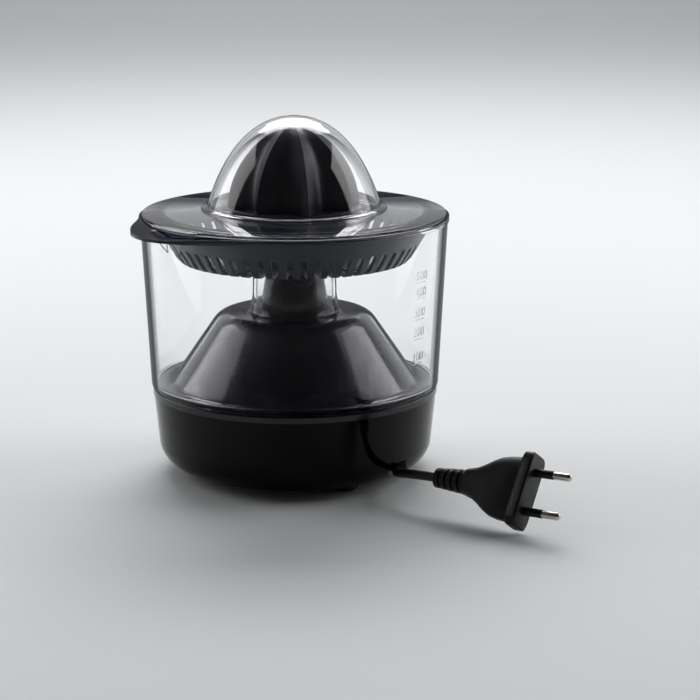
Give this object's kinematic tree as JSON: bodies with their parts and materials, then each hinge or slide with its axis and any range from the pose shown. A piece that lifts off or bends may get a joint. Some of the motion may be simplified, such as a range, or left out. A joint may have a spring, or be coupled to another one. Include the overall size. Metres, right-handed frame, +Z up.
{
  "type": "citrus press juicer",
  "caption": "Electric citrus press: black motor base with wound cord and plug, clear jug with pouring lip, slotted strainer, ribbed reamer and clear domed dust cover.",
  "frame": {"origin": "on the spindle's axis at the table, under the middle of the three feet", "axes": "+Z up along the spindle, -Y over the front foot; the pouring lip points 10.5 degrees from -X towards -Y"},
  "size_m": [0.1679, 0.2447, 0.1752],
  "materials": {
    "clear_plastic": "clear styrene acrylonitrile, polished mould",
    "black_moulding": "black polypropylene, satin gloss",
    "black_gloss": "black ABS, high gloss",
    "white_acetal": "white acetal, as moulded",
    "grey_nylon": "glass-filled nylon, as moulded",
    "rubber_foot": "black rubber, matt",
    "cord_rubber": "black rubber, matt",
    "cord_vinyl": "black soft vinyl, fine satin",
    "zinc_steel": "zinc-plated screws",
    "ground_steel": "ground steel rod",
    "spring_steel": "drawn spring wire",
    "bronze_bush": "sintered bronze",
    "brass_pinion": "cut brass",
    "rotor_ferrite": "pressed ferrite magnet",
    "core_laminations": "stacked electrical steel sheet",
    "coil_varnish": "varnished copper wire on a bobbin",
    "nickel_pins": "nickel-plated brass"
  },
  "bodies": {
    "base": {"motor_housing": "black_gloss", "base_shell": "black_gloss", "cord_winder": "black_moulding", "winder_screws": "zinc_steel", "foot_front": "rubber_foot", "foot_right": "rubber_foot", "foot_left": "rubber_foot", "housing_screws": "zinc_steel", "upper_bush": "bronze_bush", "lower_bush": "bronze_bush", "second_gear_pin": "ground_steel", "first_gear_pin": "ground_steel", "motor_core": "core_laminations", "motor_coils": "coil_varnish", "motor_screws": "zinc_steel", "gearbox_tray": "grey_nylon", "tray_screws": "zinc_steel", "gearbox_cover": "grey_nylon", "cover_screws": "zinc_steel", "switch_body": "black_moulding", "cord_gland": "cord_rubber", "cord_clamp": "grey_nylon", "cord_coil": "cord_vinyl", "cord_tail": "cord_vinyl", "plug_body": "cord_vinyl", "plug_boot": "cord_vinyl", "plug_pins": "nickel_pins", "plug_sleeves": "cord_vinyl"},
    "jug": {"juice_jug": "clear_plastic"},
    "strainer_basket": {"strainer": "black_moulding"},
    "cover": {"dust_cover": "clear_plastic"},
    "bush_ring": {"reamer_bush": "white_acetal"},
    "reamer_cone": {"reamer": "black_moulding"},
    "thrust": {"thrust_pad": "white_acetal", "return_spring": "spring_steel"},
    "spindle": {"drive_spindle": "ground_steel", "spindle_dog": "white_acetal", "spindle_clip": "zinc_steel"},
    "output_wheel": {"output_gear": "white_acetal"},
    "second_wheel": {"second_gear": "white_acetal"},
    "first_wheel": {"first_gear": "white_acetal"},
    "rotor": {"motor_rotor": "rotor_ferrite", "rotor_shaft": "ground_steel", "motor_pinion": "brass_pinion"},
    "switch_button": {"switch_plunger": "white_acetal"}
  },
  "joints": [
    {"name": "jug_lift", "type": "slide", "parent": "base", "child": "jug", "axis": [0, 0, 1], "range_m": [0, 0.12]},
    {"name": "strainer_lift", "type": "slide", "parent": "jug", "child": "strainer_basket", "axis": [0, 0, 1], "range_m": [0, 0.08]},
    {"name": "cover_lift", "type": "slide", "parent": "strainer_basket", "child": "cover", "axis": [0, 0, 1], "range_m": [0, 0.08]},
    {"name": "reamer_press", "type": "slide", "parent": "strainer_basket", "child": "bush_ring", "axis": [0, 0, 1], "range_m": [-0.0022, 0]},
    {"name": "reamer_spin", "type": "hinge", "parent": "bush_ring", "child": "reamer_cone", "pos_m": [0, 0, 0.13], "axis": [0, 0, 1], "continuous": true},
    {"name": "spindle_press", "type": "slide", "parent": "base", "child": "thrust", "axis": [0, 0, 1], "range_m": [-0.0022, 0], "stiffness_N_per_m": 2500, "springref_m": 0.0024, "deforming": ["return_spring"]},
    {"name": "spindle_spin", "type": "hinge", "parent": "thrust", "child": "spindle", "pos_m": [0, 0, 0.06], "axis": [0, 0, 1], "continuous": true},
    {"name": "output_spin", "type": "hinge", "parent": "base", "child": "output_wheel", "pos_m": [0, 0, 0.06], "axis": [0, 0, 1], "continuous": true},
    {"name": "second_spin", "type": "hinge", "parent": "base", "child": "second_wheel", "pos_m": [0.01692, -0.01244, 0.05], "axis": [0, 0, 1], "continuous": true},
    {"name": "first_spin", "type": "hinge", "parent": "base", "child": "first_wheel", "pos_m": [0.01886, 0.00667, 0.05], "axis": [0, 0, 1], "continuous": true},
    {"name": "rotor_spin", "type": "hinge", "parent": "base", "child": "rotor", "pos_m": [0.01272, 0.02035, 0.028], "axis": [0, 0, 1], "continuous": true},
    {"name": "switch_press", "type": "slide", "parent": "base", "child": "switch_button", "axis": [0, 0, 1], "range_m": [-0.0022, 0]}
  ],
  "couplings": [
    {"joint": "reamer_press", "follows": "spindle_press", "ratio": 1},
    {"joint": "switch_press", "follows": "spindle_press", "ratio": 1},
    {"joint": "spindle_spin", "follows": "reamer_spin", "ratio": 1},
    {"joint": "output_spin", "follows": "reamer_spin", "ratio": 1},
    {"joint": "second_spin", "follows": "reamer_spin", "ratio": -2.5},
    {"joint": "first_spin", "follows": "reamer_spin", "ratio": 7.5},
    {"joint": "rotor_spin", "follows": "reamer_spin", "ratio": -30}
  ]
}
